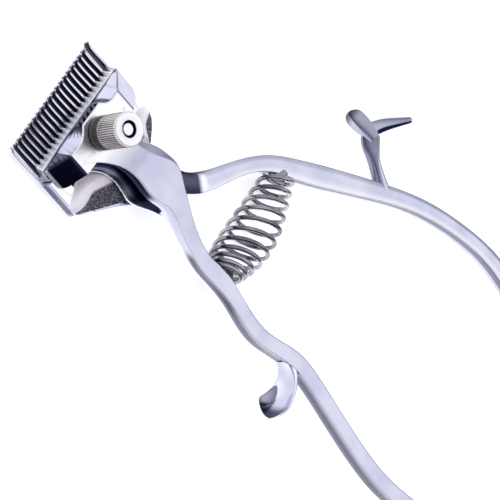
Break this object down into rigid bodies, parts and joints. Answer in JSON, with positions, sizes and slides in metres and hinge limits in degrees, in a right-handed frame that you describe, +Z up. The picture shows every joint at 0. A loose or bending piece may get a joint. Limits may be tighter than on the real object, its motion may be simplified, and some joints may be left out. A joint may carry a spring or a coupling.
{
  "type": "hand-squeezed hair clipper",
  "caption": "Chrome hand-squeezed hair clipper: a fixed comb, a sliding toothed blade driven by a sprung lever handle, and a knurled tension nut.",
  "frame": {"origin": "where the pivot stud's axis meets the plane of the comb's underside", "axes": "+Z up the stud to the tension nut, teeth point to -Y, grips run to +Y, the moving lever lies on the -X side"},
  "size_m": [0.1033, 0.1738, 0.0232],
  "materials": {
    "chrome_casting": "polished chrome plate",
    "comb_steel": "fine ground and plated",
    "blade_steel": "ground bright",
    "nickel_nut": "nickel plate, knurled",
    "spring_wire": "bright plated spring wire",
    "bronze_bush": "plain turned bronze",
    "plain_steel": "turned steel"
  },
  "bodies": {
    "frame": {"comb_blade": "comb_steel", "base_casting": "chrome_casting", "top_frame": "chrome_casting", "pivot_stud": "nickel_nut", "roof_washer": "plain_steel", "comb_screws": "plain_steel", "frame_screws": "plain_steel", "dowel_pins": "plain_steel", "stop_pin": "plain_steel", "spring_peg_fixed": "nickel_nut", "tension_spring": "spring_wire", "return_spring": "spring_wire"},
    "lever": {"lever_handle": "chrome_casting", "lever_bush": "bronze_bush", "drive_pin": "plain_steel", "drive_roller": "plain_steel", "spring_peg_lever": "nickel_nut"},
    "blade": {"cutter_blade": "blade_steel"},
    "nut_carrier": {"nut_washer": "plain_steel"},
    "nut": {"tension_nut": "nickel_nut"}
  },
  "joints": [
    {"name": "lever_swing", "type": "hinge", "parent": "frame", "child": "lever", "pos_m": [0, 0, 0], "axis": [0, 0, 1], "range_deg": [-14.68, 0], "stiffness_Nm_per_rad": 1, "springref_deg": 17.19, "deforming": ["return_spring"]},
    {"name": "blade_slide", "type": "slide", "parent": "frame", "child": "blade", "axis": [1, 0, 0], "range_m": [-0.00001, 0.00206]},
    {"name": "nut_rise", "type": "slide", "parent": "frame", "child": "nut_carrier", "axis": [0, 0, 1], "range_m": [-0.00027, 0.0014], "deforming": ["tension_spring"]},
    {"name": "nut_turn", "type": "hinge", "parent": "nut_carrier", "child": "nut", "pos_m": [0, 0, 0.0165], "axis": [0, 0, 1], "range_deg": [-140, 721]}
  ],
  "couplings": [
    {"joint": "blade_slide", "follows": "lever_swing", "m_per_rad": -0.008},
    {"joint": "nut_turn", "follows": "nut_rise", "rad_per_m": 8976}
  ]
}
